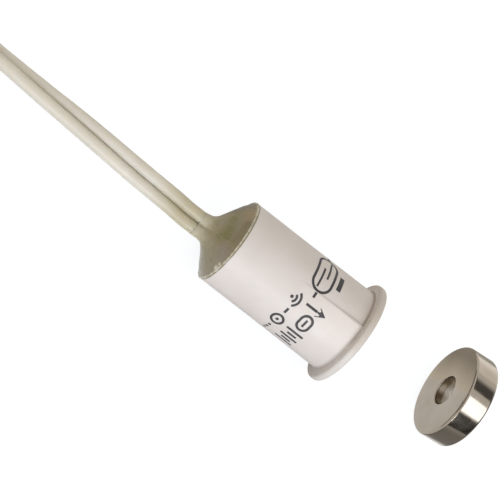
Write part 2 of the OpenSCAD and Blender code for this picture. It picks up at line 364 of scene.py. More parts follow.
# %% [markdown]
# ## Stripped tips
# The end of each lead shows its conductor: seven fine strands, six of them laid round the middle
# one. A strand is a small disc that is spun about the conductor's middle line while it moves along
# it, which draws a helix with no path object. The middle strand is the same disc, spun on the spot.
# The tip sinks as it leaves the insulation, until it lies on the floor.

# %% Tip meshes
core_diameter = 0.76 * mm
outer_strands = 6
strand_radius = core_diameter / 6
strand_turn = math.radians(280)
tip_length = 7 * mm
tip_steps = 60
settling = 1.2 * mm


def strand(bm, offset, start_angle):
    """One strand, whose middle is that far from the conductor's and starts at that angle."""
    facing = Matrix.Rotation(math.radians(-90), 4, "X")
    place = Vector((offset * math.cos(start_angle), 0, offset * math.sin(start_angle)))
    disc = bmesh.ops.create_circle(
        bm, cap_ends=True, segments=14, radius=strand_radius, matrix=Matrix.Translation(place) @ facing
    )
    verts = disc["verts"]
    edges = list({edge for vertex in verts for edge in vertex.link_edges})
    faces = list({face for vertex in verts for face in vertex.link_faces})
    bmesh.ops.spin(
        bm,
        geom=verts + edges + faces,
        cent=(0, 0, 0),
        axis=(0, 1, 0),
        dvec=(0, tip_length / tip_steps, 0),
        angle=strand_turn,
        steps=tip_steps,
    )


def stripped_tip(name, side, stands_for):
    """The seven strands of one lead, from the end of its insulation."""
    bm = bmesh.new()
    strand(bm, 0, 0)
    for i in range(outer_strands):
        strand(bm, 2 * strand_radius, math.radians(360 / outer_strands * i))
    for vertex in bm.verts:
        vertex.co.z -= (lowest - core_diameter / 2) * ease(vertex.co.y / settling)
    reach, distance = tail_reach(side)
    bm.transform(
        Matrix.Translation(Vector((coil_middle.x, coil_middle.y, floor_z + lowest)))
        @ Matrix.Rotation(tail_angle, 4, "Z")
        @ Matrix.Translation((distance, reach, 0))
    )
    return make_piece(bm, name, "switch", [stands_for], crease=60)


tip_a = stripped_tip("stranded_tip_a", -1, "wire_a_tip")
tip_b = stripped_tip("stranded_tip_b", 1, "wire_b_tip")

# %% [markdown]
# ## Tie
# A small nylon tie holds the coil. Its band is a loop with rounded corners: the outline is a
# rectangle whose corners are bevelled, extruded to the band's width and given its thickness by
# solidify. The locking head is a block with eased edges, and a trimmed tail stands out of it above
# and below, as such a tie looks once it has been cut.

# %% Band of the tie
tie_width = 2.4 * mm
tie_slack = 0.05 * mm
tie_height = 4.9 * mm
tie_corner = 0.4 * mm

loop_low = coil_radius - 4 * coil_half - tie_slack
loop_high = coil_outside + tie_slack
loop_top = tie_thickness + tie_height
tie_bm = bmesh.new()
# The sheet fills the band's outline and stands at one edge of the band
loop_middle = Vector((loop_low + loop_high, -tie_width, tie_thickness + loop_top)) / 2
outline = bmesh.ops.create_grid(
    tie_bm,
    x_segments=1,
    y_segments=1,
    size=0.5,
    matrix=Matrix.Translation(loop_middle)
    @ Matrix.Rotation(math.radians(90), 4, "X")
    @ Matrix.Diagonal((loop_high - loop_low, loop_top - tie_thickness, 1, 1)),
)
bmesh.ops.bevel(
    tie_bm,
    geom=outline["verts"],
    offset=tie_corner,
    affect="VERTICES",
    segments=6,
    profile=0.5,
    material=-1,
)
bmesh.ops.delete(tie_bm, geom=tie_bm.faces[:], context="FACES_ONLY")
band = bmesh.ops.extrude_edge_only(tie_bm, edges=tie_bm.edges[:])["geom"]
far_side = [part for part in band if isinstance(part, bmesh.types.BMVert)]
bmesh.ops.translate(tie_bm, verts=far_side, vec=(0, tie_width, 0))
bmesh.ops.recalc_face_normals(tie_bm, faces=tie_bm.faces)
bmesh.ops.solidify(tie_bm, geom=tie_bm.faces[:], thickness=-tie_thickness)
print("faces of the tie's band:", len(tie_bm.faces))

# %% Head and tail of the tie
tie_angle = math.radians(225)
head_out = 2.2 * mm
head_width = 3.4 * mm
head_height = 2.6 * mm
head_low = 1.2 * mm
head_rounding = 0.3 * mm
tail_inset = 0.9 * mm
tail_below = 0.35 * mm
tail_above = 0.7 * mm
tail_rounding = 0.08 * mm

head_start = loop_high + tie_thickness / 2
head_end = loop_high + tie_thickness + head_out
head_high = head_low + head_height
tail_start = head_start + tail_inset
tail_end = tail_start + tie_thickness


def block(bm, low, high, rounding, segments):
    """A box between two corners, with its edges rounded."""
    middle = (Vector(low) + Vector(high)) / 2
    size = Vector(high) - Vector(low)
    place = Matrix.Translation(middle) @ Matrix.Diagonal((*size, 1))
    made = bmesh.ops.create_cube(bm, size=1, matrix=place)
    edges = list({edge for vertex in made["verts"] for edge in vertex.link_edges})
    bmesh.ops.bevel(
        bm, geom=edges, offset=rounding, affect="EDGES", segments=segments, profile=0.5, material=-1
    )


block(
    tie_bm,
    (head_start, -head_width / 2, head_low),
    (head_end, head_width / 2, head_high),
    head_rounding,
    3,
)
block(
    tie_bm,
    (tail_start, -tie_width / 2, head_low - tail_below),
    (tail_end, tie_width / 2, head_high + tail_above),
    tail_rounding,
    2,
)
tie_bm.transform(
    Matrix.Translation(Vector((coil_middle.x, coil_middle.y, floor_z))) @ Matrix.Rotation(tie_angle, 4, "Z")
)
tie = make_piece(tie_bm, "nylon_tie", "switch", ["coil_tie"])

# %% What each lead is as a cord
for lead, side, tip in ((lead_a, -1, tip_a), (lead_b, 1, tip_b)):
    print(lead.name, "is a cord that ends in", tip.name)

# %% [markdown]
# ## Cup
# The cup is one moulding: a thin wall, a closed nose and a flange with rounded edges. Round things
# could be made from ready cylinders, but a section that is spun about the axis can hold every small
# rounding, so that is the way here. The gate of the mould leaves a shallow dimple with a small nub
# in the middle of the nose, which the section holds too.

# %% Arcs and turned shapes
def arc(centre_x, centre_r, radius, start, end, steps):
    """Points (x, r) on an arc. Angles are in degrees, from +x toward +r."""
    angles = [math.radians(start + (end - start) * i / steps) for i in range(steps + 1)]
    return [(centre_x + radius * math.cos(a), centre_r + radius * math.sin(a)) for a in angles]


def turned(profile, steps):
    """A bmesh of the profile's points (x, r), spun a full turn about X."""
    bm = bmesh.new()
    points = [bm.verts.new((x, r, 0)) for x, r in profile]
    edges = [bm.edges.new(pair) for pair in zip(points, points[1:])]
    bmesh.ops.spin(
        bm, geom=points + edges, cent=(0, 0, 0), axis=(1, 0, 0), angle=math.tau, steps=steps, use_merge=True
    )
    bmesh.ops.remove_doubles(bm, verts=bm.verts, dist=1e-8)
    return bm


def evenly(start, end, count):
    """Evenly spaced values after start, up to end."""
    return [start + (end - start) * (i + 1) / count for i in range(count)]


# %% Section of the cup
flange_thickness = 0.88 * mm
nose_rounding = 0.35 * mm
back_rounding = 0.28 * mm
fillet = 0.15 * mm
rim_rounding = 0.05 * mm
draft = 0.06 * mm
plain_length = 6.4 * mm
wall = 0.75 * mm
cavity_radius = barrel_radius - wall
cavity_floor = 0.23 * mm
gate_radius = 0.9 * mm
gate_depth = 0.08 * mm
nub_radius = 0.2 * mm
nub_sink = 0.02 * mm
nub_edge_sink = 0.035 * mm
soft_step = 0.04 * mm

corner_radius = barrel_radius + draft
nose_edge = flange_radius - nose_rounding
wall_end = -barrel_length + rim_rounding


def barrel_wall(x):
    """Radius of the barrel's plain and drafted stretches."""
    share = (x + barrel_length - plain_length) / (barrel_length - plain_length)
    return barrel_radius + draft * min(max(share, 0), 1)


cup_section = [
    (flange_thickness - nub_sink, 0),
    (flange_thickness - nub_sink, nub_radius - soft_step),
    (flange_thickness - nub_edge_sink, nub_radius),
    (flange_thickness - gate_depth, nub_radius + soft_step),
    (flange_thickness - gate_depth, gate_radius - 3 * soft_step),
    (flange_thickness - nub_sink, gate_radius - soft_step / 2),
    (flange_thickness, gate_radius),
]
cup_section += [(flange_thickness, r) for r in evenly(gate_radius, nose_edge - 0.2 * mm, 6)]
cup_section += arc(flange_thickness - nose_rounding, nose_edge, nose_rounding, 0, 90, 12)
cup_section += arc(back_rounding, flange_radius - back_rounding, back_rounding, 90, 180, 10)
cup_section += arc(-fillet, corner_radius + fillet, fillet, 0, -90, 10)
cup_section += [(x, barrel_wall(x)) for x in evenly(-fillet, wall_end, 70)]
cup_section += arc(wall_end, barrel_radius - rim_rounding, rim_rounding, 90, 180, 4)[1:]
cup_section += [(-barrel_length, cavity_radius), (cavity_floor, cavity_radius), (cavity_floor, 0)]
cup_bm = turned(cup_section, 360)
print("points of the cup's section:", len(cup_section), "faces:", len(cup_bm.faces))

# %% [markdown]
# ## Grips
# Two grips near the flange rise slowly round the barrel and end in a step, so that the cup bites
# when it is pushed in and turned. Two leaning cylinders could be joined to the cup, but a union
# leaves ragged faces. Here the spun wall's own vertices are moved outward to the leaning
# cylinder's skin, after its columns have been drawn together at the two steps.

# %% Skin of the barrel with its grips
grip_steps = (106, 286)
grip_lead = 45
grip_rise = 0.45 * mm
grip_sink = 0.05 * mm
grip_start = 9.4 * mm
grip_lean = (grip_rise + grip_sink) / grip_start
step_width = 0.05 * mm


def grip_skin(x, angle, step):
    """Radius of a grip's leaning cylinder at x, seen at that angle."""
    shift = (x + grip_start) * grip_lean
    from_peak = angle - math.radians(step - grip_lead)
    sunk_radius = barrel_radius - grip_sink
    across = shift * math.sin(from_peak)
    return shift * math.cos(from_peak) + math.sqrt(sunk_radius ** 2 - across ** 2)


def angle_from(angle, step):
    """Signed angle past a step, from -pi to pi."""
    return (angle - math.radians(step) + math.pi) % math.tau - math.pi


def skin_radius(x, angle, plain):
    """Radius of the cup's outside at x, with the grips, where the plain wall has that radius."""
    radius = plain
    for step in grip_steps:
        past = angle_from(angle, step)
        if past > 0 and x > -grip_start:
            rise = max(grip_skin(x, angle, step) - plain, 0)
            radius += rise * ease(past * plain / step_width)
    return radius


print("lean of a grip in degrees:", round(math.degrees(math.atan(grip_lean)), 2))

# %% Cup with its grips
gather_width = math.radians(8)
highest = 0

for vertex in cup_bm.verts:
    x, y, z = vertex.co
    radius = math.hypot(y, z)
    if radius < barrel_radius - 0.01 * mm:
        continue
    angle = math.atan2(z, y)
    for step in grip_steps:
        past = angle_from(angle, step)
        if abs(past) < gather_width:
            angle += math.copysign(gather_width * (past / gather_width) ** 2, past) - past
    if -grip_start < x < 1e-9:
        plain = radius
        radius = skin_radius(x, angle, plain)
        highest = max(highest, radius - plain)
    vertex.co = (x, radius * math.cos(angle), radius * math.sin(angle))
cup_bm.transform(lying)
cup = make_piece(cup_bm, "cup", "switch", ["housing"])
print("greatest rise of a grip in mm:", round(highest / mm, 2))

# %% [markdown]
# ## Building blocks of a finish
# A finish could be painted, but a painted picture has a fixed fineness and needs a flat layout of
# every piece. Here each finish is worked out by nodes from Object coordinates, so a pattern keeps
# its true size and stays put on its piece. The first functions make a material, a node and a
# place on the piece. A colour is written as it is read off a screen and turned into the linear
# value that shaders take.

# %% Materials, nodes and places
def srgb(red, green, blue):
    """A colour as it is read off a screen, from 0 to 255, through the sRGB curve to linear."""
    shares = [x / 255 for x in (red, green, blue)]
    return (*[x / 12.92 if x <= 0.04045 else ((x + 0.055) / 1.055) ** 2.4 for x in shares], 1)


def add(tree, kind, **sockets):
    """A new node of that kind. A socket's name has _ for a blank here."""
    made = tree.nodes.new("ShaderNode" + kind)
    for socket, value in sockets.items():
        made.inputs[socket.replace("_", " ")].default_value = value
    return made


def new_material(name, **sockets):
    """A material, its nodes and its shader, with these of the shader's sockets set."""
    material = bpy.data.materials.new(name)
    material.use_nodes = True
    tree = material.node_tree
    shader = tree.nodes["Principled BSDF"]
    for socket, value in sockets.items():
        shader.inputs[socket.replace("_", " ")].default_value = value
    return material, tree, shader


def object_place(tree, turn=(0, 0, 0), stretch=(1, 1, 1), shift=(0, 0, 0)):
    """Object coordinates, stretched, turned and moved: where a pattern lies on a piece."""
    coordinates = add(tree, "TexCoord")
    mapping = add(tree, "Mapping", Rotation=turn, Scale=stretch, Location=shift)
    tree.links.new(coordinates.outputs["Object"], mapping.inputs["Vector"])
    return mapping.outputs["Vector"]


def dress(piece, material):
    """Gives a piece its one material."""
    piece.data.materials.clear()
    piece.data.materials.append(material)
    print(piece.name, "is finished in", material.name)


print("a mid grey of 128 as a linear value:", round(srgb(128, 128, 128)[0], 3))

# %% [markdown]
# Most finishes need the same three things: a shade that drifts, a roughness that isn't even, and
# a fine grain. All three start from a noise, and a value that is stretched from one span to
# another turns noise into as much colour or roughness as is wanted.

# %% Shades that drift
def clouds(tree, place, size, detail):
    """A noise whose patches have that size."""
    noise = add(tree, "TexNoise", Scale=1 / size, Detail=detail, Roughness=0.55)
    tree.links.new(place, noise.inputs["Vector"])
    return noise.outputs["Fac"]


def spanned(tree, value, start, end, low=0.0, high=1.0):
    """The value stretched, so that start gives low and end gives high, with nothing outside them."""
    span = add(tree, "MapRange", From_Min=start, From_Max=end, To_Min=low, To_Max=high)
    tree.links.new(value, span.inputs["Value"])
    return span.outputs["Result"]


def blended(tree, share, first, second):
    """The first colour at share 0 and the second at 1. Either may be a colour or a node's output."""
    mix = add(tree, "Mix")
    mix.data_type = "RGBA"
    tree.links.new(share, mix.inputs["Factor"])
    # Sockets 6 and 7 take the colours, and socket 2 gives the blend
    for socket, colour in ((mix.inputs[6], first), (mix.inputs[7], second)):
        if isinstance(colour, tuple):
            socket.default_value = colour
        else:
            tree.links.new(colour, socket)
    return mix.outputs[2]


def mottle(tree, place, size, low, high):
    """A colour that drifts between two shades over patches of that size."""
    return blended(tree, spanned(tree, clouds(tree, place, size, 3.0), 0.25, 0.75), low, high)


# %% Uneven roughness and grain
def worked_out(tree, operation, first, *others):
    """Values joined one after the other by the same operation."""
    for value in others:
        node = add(tree, "Math")
        node.operation = operation
        tree.links.new(first, node.inputs[0])
        tree.links.new(value, node.inputs[1])
        first = node.outputs[0]
    return first


def uneven_roughness(tree, shader, place, size, low, high, least=None):
    """A roughness that drifts from low to high. Where least is given, it is never below that."""
    rough = spanned(tree, clouds(tree, place, size, 4.0), 0.3, 0.7, low, high)
    if least is not None:
        rough = worked_out(tree, "MAXIMUM", rough, least)
    tree.links.new(rough, shader.inputs["Roughness"])


def grain(tree, shader, place, size, depth, under=None):
    """Fine bumps of that size and depth. Given a first bump, it lies over that one."""
    bump = add(tree, "Bump", Distance=depth)
    tree.links.new(clouds(tree, place, size, 2.0), bump.inputs["Height"])
    if under:
        tree.links.new(under.outputs["Normal"], bump.inputs["Normal"])
    tree.links.new(bump.outputs["Normal"], shader.inputs["Normal"])
    return bump


# %% [markdown]
# Wear and dirt sit in certain places, and a place is a share from 0 to 1. On a round piece it is
# told by the way along the axis and by the distance from it, on one side by a third direction, and
# anywhere by the distance from a chosen spot. Shares that are multiplied leave only what lies in
# all of them.

# %% Shares of a place
def vector_math(tree, operation, vector, other=(0, 0, 0)):
    """A node that works on a vector, and on a fixed other one where the operation takes two."""
    node = add(tree, "VectorMath")
    node.operation = operation
    tree.links.new(vector, node.inputs[0])
    node.inputs[1].default_value = other
    return node.outputs


def coordinate(tree, place, axis):
    """One coordinate of a place. Along X it is the way along a round piece's axis."""
    parts = add(tree, "SeparateXYZ")
    tree.links.new(place, parts.inputs["Vector"])
    return parts.outputs[axis]


def from_axis(tree, place):
    """The vector from the X axis straight out to the place, and its length."""
    spoke = vector_math(tree, "MULTIPLY", place, (0, 1, 1))["Vector"]
    return spoke, vector_math(tree, "LENGTH", spoke)["Value"]


def spot(tree, place, middle, radius, most=1.0):
    """A share that is largest near a place in mm and fades to 0 at that distance in mm."""
    distance = vector_math(tree, "DISTANCE", place, Vector(middle) * mm)["Value"]
    return spanned(tree, distance, radius * mm, 0.3 * radius * mm, 0, most)


def all_of(tree, *shares):
    """Shares multiplied, so that only a place that has them all gets the full share."""
    return worked_out(tree, "MULTIPLY", *shares)


# %% [markdown]
# ## Ivory plastic
# The plastic is a warm ivory with a soft sheen. What keeps it from looking like a flat colour is a
# faint drift of shade, a roughness that varies, and a grain finer than a tenth of a millimetre
# over shallow waves. A little light passes under the skin. The flange's back and edge have a
# painted shade, darker on its upper side. Beside the upper grip's step the barrel has a paler
# painted light, and a narrow painted shade lies in the corner where barrel and flange meet.

# %% Ivory plastic: nodes that tell the place
untilted = (0, rest_tilt, 0)
upper_side = (0, 0.83, 0.55)
ivory, tree, shader = new_material(
    "ivory_plastic", Subsurface_Weight=0.12, Subsurface_Radius=(1.0, 0.8, 0.6), Subsurface_Scale=0.6 * mm
)
place = object_place(tree, untilted)
along = coordinate(tree, place, "X")
spoke, across = from_axis(tree, place)
sideways = vector_math(tree, "DOT_PRODUCT", spoke, upper_side)["Value"]
print("nodes that tell the place on the cup:", len(tree.nodes) - 2)

# %% Ivory plastic: shade, sheen and grain
shade = mottle(tree, place, 4 * mm, srgb(223, 217, 214), srgb(231, 226, 224))
# Painted shade: the flange's back and edge are darker, most of all on its upper side
flange_shade_share = spanned(tree, across, corner_radius + 0.1 * mm, flange_radius - 0.3 * mm)
to_upper_side = spanned(tree, sideways, -1.5 * mm, 0)
flange_painted_shade = blended(tree, to_upper_side, srgb(220, 216, 212), srgb(211, 203, 195))
shade = blended(tree, flange_shade_share, shade, flange_painted_shade)
# Painted light: a paler patch on the barrel beside the upper grip's step
grip_painted_light = all_of(
    tree,
    spanned(tree, along, -8 * mm, -2.5 * mm),
    spanned(tree, along, -0.1 * mm, -0.4 * mm),
    spanned(tree, sideways, -2.5 * mm, 1.2 * mm),
    spanned(tree, sideways, 1.3 * mm, 1.2 * mm),
)
shade = blended(tree, grip_painted_light, shade, srgb(240, 234, 230))
# Painted shade: a narrow dark line in the corner where barrel and flange meet
root_painted_shade = all_of(
    tree,
    spanned(tree, along, -0.3 * mm, -0.05 * mm),
    spanned(tree, along, 0.3 * mm, 0.1 * mm),
    spanned(tree, across, 4.9 * mm, 4.75 * mm),
    spanned(tree, sideways, -1 * mm, 2 * mm, 0, 0.9),
)
shade = blended(tree, root_painted_shade, shade, srgb(160, 145, 129))
tree.links.new(shade, shader.inputs["Base Color"])
uneven_roughness(tree, shader, place, 1.5 * mm, 0.42, 0.54)
waves = grain(tree, shader, place, 0.8 * mm, 0.006 * mm)
grain(tree, shader, place, 0.07 * mm, 0.002 * mm, under=waves)
dress(cup, ivory)

# %% [markdown]
# ## Print
# A plain symbol of the contact is printed on the barrel: a capsule with two blades and a magnet,
# and beside it rows of bars, rings, dots and an arrow that points to the end that senses. Print
# could be a texture, but ink has an edge and a thickness that can be modelled: each mark is a flat
# shape, which is wrapped round the barrel just above its skin and thickened.

# %% Flat marks
stroke = 0.27 * mm
fine_cut = 0.2 * mm
arc_cut = 12


def ink_bar(bm, start, end, width=stroke, taper=0):
    """A bar of ink between two places, each (along the axis, round the barrel) in mm.

    With a taper of 1 its end comes to a point.
    """
    start, end = Vector(start) * mm, Vector(end) * mm
    run = end - start
    place = (
        Matrix.Translation((*start, 0))
        @ Matrix.Rotation(math.atan2(run.y, run.x), 4, "Z")
        @ Matrix.Diagonal((run.length, width, 1, 1))
    )
    cuts = max(round(run.length / fine_cut), 1)
    made = bmesh.ops.create_grid(bm, x_segments=cuts, y_segments=2, size=0.5)
    for vertex in made["verts"]:
        share = vertex.co.x + 0.5
        vertex.co = place @ Vector((share, vertex.co.y * (1 - taper * share), 0))


def ink_arc(bm, centre, radius, start, turn, width=stroke):
    """A curved stroke: an edge across it is spun about the centre. Angles are in degrees."""
    centre = Vector((*centre, 0)) * mm
    ray = Vector((math.cos(math.radians(start)), math.sin(math.radians(start)), 0))
    across = [bm.verts.new(centre + ray * (radius * mm + side * width / 2)) for side in (-1, 0, 1)]
    edges = [bm.edges.new(pair) for pair in zip(across, across[1:])]
    bmesh.ops.spin(
        bm,
        geom=across + edges,
        cent=centre,
        axis=(0, 0, 1),
        angle=math.radians(turn),
        steps=max(round(abs(turn) / arc_cut), 2),
        use_merge=abs(turn) == 360,
    )


def ink_dot(bm, centre, diameter):
    """A round dot. Its centre and its diameter are in mm."""
    place = Matrix.Translation(Vector((*centre, 0)) * mm)
    bmesh.ops.create_circle(bm, cap_ends=True, segments=24, radius=diameter * mm / 2, matrix=place)


def ink_capsule(bm, centre, radius, straight):
    """The outline of a capsule that lies round the barrel."""
    for side in (-1, 1):
        end_y = centre[1] + side * straight / 2
        ink_arc(bm, (centre[0], end_y), radius, 0, side * 180)
        wall_x = centre[0] + side * radius
        ink_bar(bm, (wall_x, centre[1] - straight / 2), (wall_x, centre[1] + straight / 2))


# %% Marks wrapped round the barrel
ink_lift = 0.004 * mm
ink_thickness = 0.01 * mm


def wrap_marks(bm, place_along, place_angle):
    """Lays flat marks round the barrel: their X runs along the axis and their Y round it."""
    bmesh.ops.remove_doubles(bm, verts=bm.verts, dist=1e-7)
    for vertex in bm.verts:
        x = -barrel_length + place_along * mm + vertex.co.x
        angle = math.radians(place_angle) - vertex.co.y / barrel_radius
        radius = skin_radius(x, angle, barrel_wall(x)) + ink_lift
        vertex.co = (x, radius * math.cos(angle), radius * math.sin(angle))
    bm.normal_update()
    for face in bm.faces:
        middle = face.calc_center_median()
        if face.normal.dot(Vector((0, middle.y, middle.z))) < 0:
            face.normal_flip()
    bmesh.ops.solidify(bm, geom=bm.faces[:], thickness=ink_thickness)
    bm.transform(lying)
    print("faces wrapped round the barrel:", len(bm.faces))


# %% Symbol of the contact
symbol_bm = bmesh.new()
capsule_x = -0.35
blade_offset = 0.3
blade_stroke = 0.22 * mm
ink_capsule(symbol_bm, (capsule_x, 0), 1.05, 2.3)
ink_bar(symbol_bm, (capsule_x - blade_offset, -1.85), (capsule_x - blade_offset, 0.55), blade_stroke)
ink_bar(symbol_bm, (capsule_x + blade_offset, -0.55), (capsule_x + blade_offset, 1.85), blade_stroke)
for side in (-1, 1):
    ink_bar(symbol_bm, (capsule_x, side * 2.4), (capsule_x, side * 3))
magnet_x = 1.45
ink_bar(symbol_bm, (magnet_x, -0.9), (magnet_x, 0.9), 0.5 * mm)
wrap_marks(symbol_bm, 9.25, 77.7)
symbol = make_piece(symbol_bm, "printed_symbol", "switch")

# %% Rows of marks
rows_bm = bmesh.new()
first_row, second_row = -1.3, 0.95
dot = 0.36
sender = (first_row - 0.55, 2.3)
ink_dot(rows_bm, sender, dot)
for radius in (0.5, 0.95):
    ink_arc(rows_bm, sender, radius, -55, 110, 0.25 * mm)
ink_bar(rows_bm, (first_row, 1.15), (first_row, 0.5))
target = (first_row, -0.6)
ink_arc(rows_bm, target, 0.62, 0, 360)
ink_dot(rows_bm, target, dot)
for y in (-1.95, -2.5, -3.05):
    ink_dot(rows_bm, (first_row, y), dot)
arrow_y = 2.6
ink_bar(rows_bm, (second_row - 1.2, arrow_y), (second_row + 0.18, arrow_y))
ink_bar(rows_bm, (second_row + 0.2, arrow_y), (second_row + 1.2, arrow_y), 1.1 * mm, taper=1)
ink_capsule(rows_bm, (second_row, 0.9), 0.62, 0.5)
ink_bar(rows_bm, (second_row, 0.45), (second_row, 1.35), 0.25 * mm)
long_half, short_half = 1.0, 0.55
bars = ((-0.6, long_half), (-1.15, short_half), (-1.7, long_half), (-2.25, short_half), (-2.8, long_half))
for y, half in bars:
    ink_bar(rows_bm, (second_row - half, y), (second_row + half, y))
wrap_marks(rows_bm, 9, 158.2)
rows = make_piece(rows_bm, "printed_rows", "switch")

# %% [markdown]
# The ink is black, and a dark grey in the small patches where it lies thin. It needs no grain,
# because a mark is only a hundredth of a millimetre thick.

# %% Print ink
ink, tree, shader = new_material("black_print_ink")
place = object_place(tree)
shade = mottle(tree, place, 0.35 * mm, srgb(40, 38, 41), srgb(66, 62, 63))
tree.links.new(shade, shader.inputs["Base Color"])
uneven_roughness(tree, shader, place, 0.3 * mm, 0.45, 0.65)
dress(symbol, ink)
dress(rows, ink)

# %% [markdown]
# ## Resin
# The resin was poured to the rim and crept up the leads, so it has a small upright lip, runs up in
# a hollow curve and ends in a thin skin round the leads, with a crevice between them. A turned
# shape can't change from round to the outline of two leads. A ring of edges can: it is extruded
# from station to station, and at each one it takes the outline of two circles that drift apart.

# %% Outline of the resin
# Share of the height, share of the width, share of the pair's outline
resin_outline = [
    (0.055, 0.965, 0),
    (0.085, 0.935, 0),
    (0.13, 0.88, 0),
    (0.2, 0.8, 0),
    (0.3, 0.655, 0.02),
    (0.41, 0.495, 0.08),
    (0.51, 0.345, 0.22),
    (0.62, 0.18, 0.46),
    (0.73, 0.075, 0.74),
    (0.82, 0.035, 0.88),
    (0.91, 0.015, 0.96),
    (1, 0, 1),
]
crevice = 0.34 * mm
resin_skin = 0.005 * mm
resin_inset = 0.05 * mm
top_radius = wire_diameter / 2 + resin_skin
base_radius = barrel_radius - resin_inset


def signed_share(value):
    """Goes smoothly from -1 to 1 as value does, and is steep in the middle."""
    softness = 0.08
    return value * math.sqrt((1 + softness) / (value * value + softness))


def resin_point(angle, height_share, width_share, pair_share):
    """A point of the resin's outside, at an angle from the pair's line."""
    radius = top_radius + width_share * (base_radius - top_radius)
    apart = pair_share * half_pair
    along = apart * signed_share(math.cos(angle)) + radius * math.cos(angle)
    past = abs(along) - apart
    across = math.sqrt(max(radius * radius - past * past, 0))
    if past < 0:
        across = max(across, min(crevice, radius))
    across = math.copysign(across, math.sin(angle))
    along += pair_share * pair_middle
    return Vector((
        -barrel_length - height_share * resin_height,
        along * math.cos(pair_angle) - across * math.sin(pair_angle),
        along * math.sin(pair_angle) + across * math.cos(pair_angle),
    ))


print("stations of the resin's outline:", len(resin_outline))

# %% A ring of edges that moves
resin_bm = bmesh.new()
angle_layer = resin_bm.verts.layers.float.new("angle")


def extrude_ring(bm, edges, mover):
    """Extrudes a ring of edges and moves each new vertex with mover(vertex)."""
    made = bmesh.ops.extrude_edge_only(bm, edges=edges)["geom"]
    for vertex in [part for part in made if isinstance(part, bmesh.types.BMVert)]:
        mover(vertex)
    return [part for part in made if isinstance(part, bmesh.types.BMEdge)]


def to_station(station):
    """A mover that takes a vertex to its place at that station of the outline."""
    def move(vertex):
        vertex.co = resin_point(vertex[angle_layer], *station)
    return move


def to_round(x, radius):
    """A mover that takes a vertex to its place on a circle round the axis."""
    def move(vertex):
        angle = vertex[angle_layer] + pair_angle
        vertex.co = (x, radius * math.cos(angle), radius * math.sin(angle))
    return move


# %% Resin mesh
resin_sides = 160
station_cuts = 4
lip_creep = 0.06 * mm
lip_height = 0.18 * mm
lip_rounding = 0.09 * mm
lip_overhang = 0.012 * mm
lip_radius = barrel_radius + lip_overhang

bmesh.ops.create_circle(resin_bm, cap_ends=False, segments=resin_sides, radius=cavity_radius)
ring = list(resin_bm.edges)
for vertex in resin_bm.verts:
    vertex[angle_layer] = math.atan2(vertex.co.y, vertex.co.x)
    to_round(cavity_floor, cavity_radius)(vertex)
bmesh.ops.contextual_create(resin_bm, geom=ring)
ring = extrude_ring(resin_bm, ring, to_round(-barrel_length, cavity_radius))
lip = [(-barrel_length + lip_creep, lip_radius)]
lip += arc(-barrel_length - lip_height + lip_rounding, lip_radius - lip_rounding, lip_rounding, 90, 180, 4)
for x, radius in lip:
    ring = extrude_ring(resin_bm, ring, to_round(x, radius))
for station in smooth_line([Vector(row) for row in resin_outline], station_cuts):
    ring = extrude_ring(resin_bm, ring, to_station(station))
bmesh.ops.contextual_create(resin_bm, geom=ring)
resin_bm.transform(lying)
resin = make_piece(resin_bm, "resin_fill", "switch", ["potting"], crease=50)

# %% [markdown]
# ## Resin finish
# Cured resin is olive in the middle, greyer toward its edge, and fades into the cream of the leads
# where it is thin. A few soft patches are greener or browner, as resin sets unevenly. Its skin has
# fine streaks that run up the cone. They come from a noise that is read by direction from the axis
# alone, so that each streak keeps its place from rim to top. The lip's side has a painted shade
# and its top a pale painted highlight, which the same streaks break up, and three small painted
# glints lie at the rim and by the leads.

# %% Resin finish: shades
olive, tree, shader = new_material(
    "olive_resin",
    Subsurface_Weight=0.3,
    Subsurface_Radius=(1.0, 0.85, 0.5),
    Subsurface_Scale=0.8 * mm,
    Coat_Weight=0.15,
    Coat_Roughness=0.12,
)
place = object_place(tree, untilted)
along = coordinate(tree, place, "X")
spoke, across = from_axis(tree, place)
streaks = clouds(tree, vector_math(tree, "NORMALIZE", spoke)["Vector"], 0.07, 3.0)
shade = mottle(tree, place, 1.8 * mm, srgb(131, 122, 78), srgb(155, 146, 113))
near_edge = spanned(tree, across, 2.6 * mm, 4.6 * mm)
shade = blended(tree, near_edge, shade, srgb(153, 143, 118))
# Middle of each patch and its radius in mm
patches = [
    ((-16.2, -1, 2.3), 1.2, srgb(128, 124, 62)),
    ((-16.2, 0.7, 2.5), 0.9, srgb(130, 126, 66)),
    ((-15.2, 1.7, 3.8), 1.5, srgb(162, 140, 98)),
    ((-15.5, -3, 2.2), 1.3, srgb(150, 138, 124)),
    ((-16.2, 2.5, 0.6), 1.1, srgb(140, 128, 120)),
]
for middle, radius, colour in patches:
    shade = blended(tree, spot(tree, place, middle, radius, 0.8), shade, colour)
shade = blended(tree, spanned(tree, streaks, 0.5, 0.75, 0, 0.25), shade, srgb(170, 161, 138))
print("patches in the resin:", len(patches))

# %% Resin finish: lip, thin skin, painted glints and gloss
# The lip's side is painted darker, as shade, and its top paler, as a painted highlight
lip_outside = spanned(tree, across, 4.4 * mm, 4.45 * mm)
lip_highlight_share = all_of(
    tree,
    spanned(tree, along, -(barrel_length + 0.3 * lip_height), -(barrel_length + 0.5 * lip_height)),
    spanned(tree, streaks, 0.36, 0.56, 0.35, 1),
)
lip_painted_shade_and_highlight = blended(tree, lip_highlight_share, srgb(132, 124, 92), srgb(220, 214, 196))
shade = blended(tree, lip_outside, shade, lip_painted_shade_and_highlight)
thin = spanned(tree, along, -16.1 * mm, -18.4 * mm)
shade = blended(tree, thin, shade, srgb(199, 192, 170))
